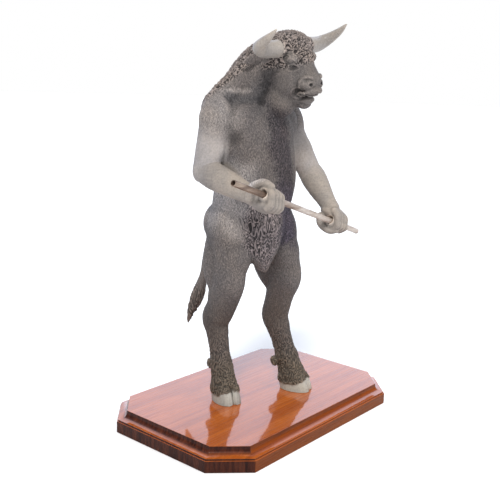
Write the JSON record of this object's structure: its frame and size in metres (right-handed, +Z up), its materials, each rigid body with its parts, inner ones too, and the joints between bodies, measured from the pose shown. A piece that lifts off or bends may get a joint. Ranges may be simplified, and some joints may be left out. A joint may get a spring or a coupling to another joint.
{
  "type": "minotaur statue",
  "caption": "Standing bull-headed figure with cloven hooves and a tail, holding a thin tube across its body, on a moulded wooden plinth with clipped corners.",
  "frame": {"origin": "centre of the plinth's underside", "axes": "+Z up from the underside to the horns; the figure faces -Y; +X is towards the figure's left hand"},
  "size_m": [0.305, 0.1976, 0.4291],
  "materials": {
    "wood": "glossy red-brown varnish",
    "resin": "matt weathered grey, with dark fur and pale bone horns and hooves",
    "tube": "dull, stained"
  },
  "bodies": {
    "root": {"plinth": "wood", "minotaur": "resin", "staff": "tube"}
  },
  "joints": []
}
